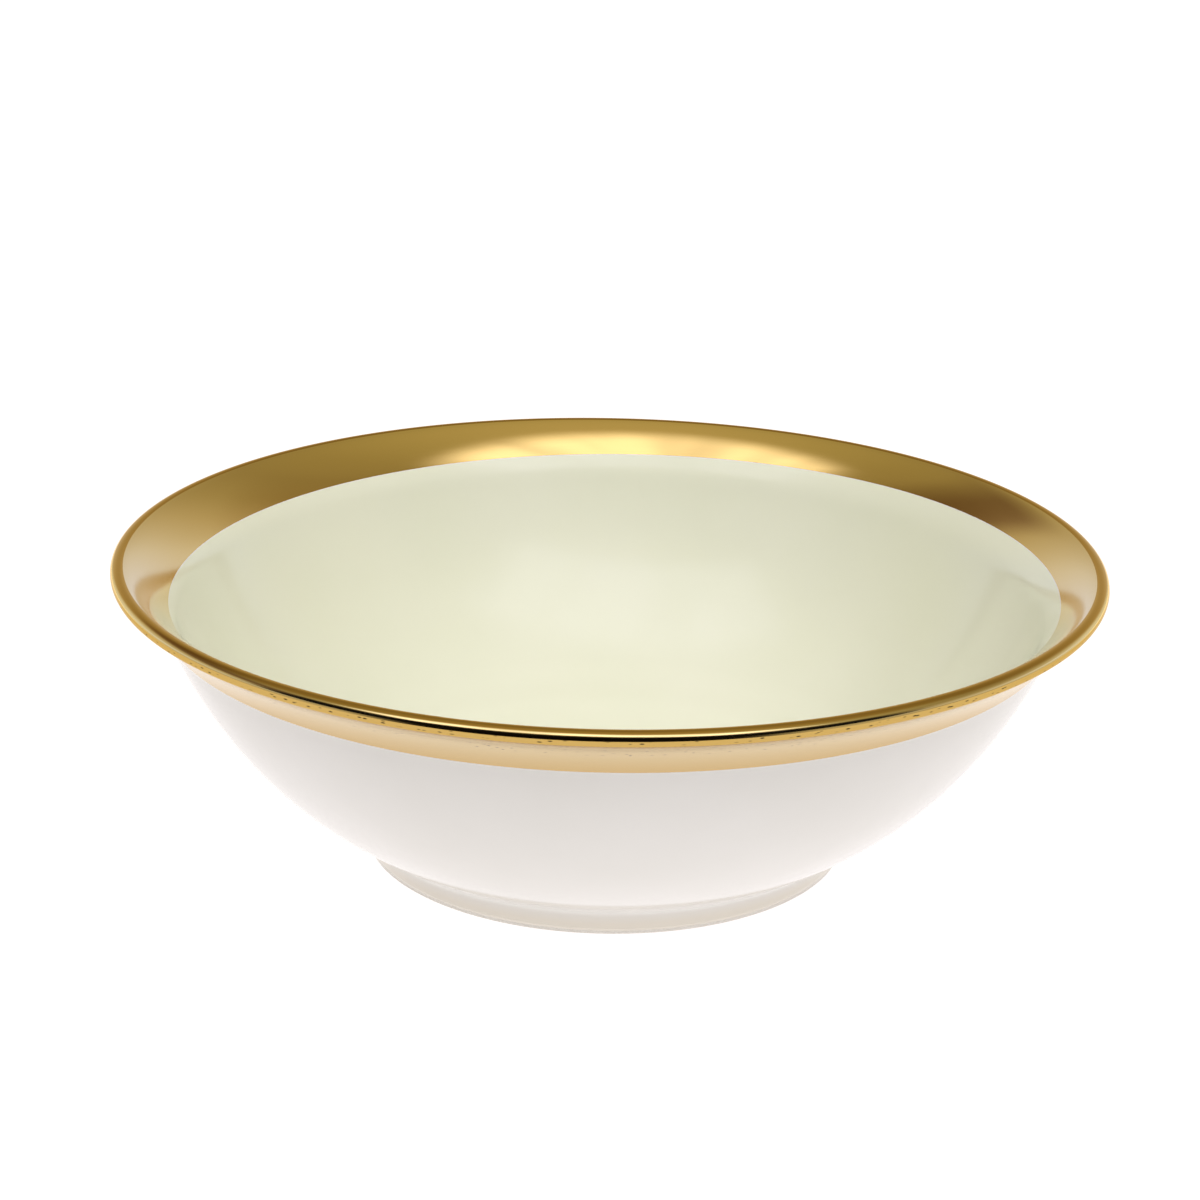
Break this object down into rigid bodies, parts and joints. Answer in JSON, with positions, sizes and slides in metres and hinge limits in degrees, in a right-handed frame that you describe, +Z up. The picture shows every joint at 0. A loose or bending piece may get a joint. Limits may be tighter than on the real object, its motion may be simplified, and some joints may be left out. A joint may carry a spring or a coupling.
{
  "type": "serving bowl",
  "caption": "Round porcelain serving bowl on a foot ring, with a flared rim, an ivory glazed interior and gold banding inside, on and under the lip.",
  "frame": {"origin": "centre of the foot ring's bearing face, on the surface that the bowl stands on", "axes": "+Z up along the bowl's axis of revolution; X and Y are free, because the bowl is round"},
  "size_m": [0.23, 0.23, 0.0714],
  "materials": {
    "porcelain": "fired white clay under the glaze",
    "bare_porcelain": "unglazed, polished bearing face",
    "white_glaze": "clear glossy glaze over white clay",
    "ivory_glaze": "glossy ivory glaze",
    "gold": "bright fired gold, brushed on by hand"
  },
  "bodies": {
    "root": {"porcelain_body": "porcelain", "foot_ring": "bare_porcelain", "white_glaze": "white_glaze", "base_glaze": "white_glaze", "ivory_lining": "ivory_glaze", "inner_gold_band": "gold", "lip_gold": "gold", "outer_gold_band": "gold"}
  },
  "joints": []
}
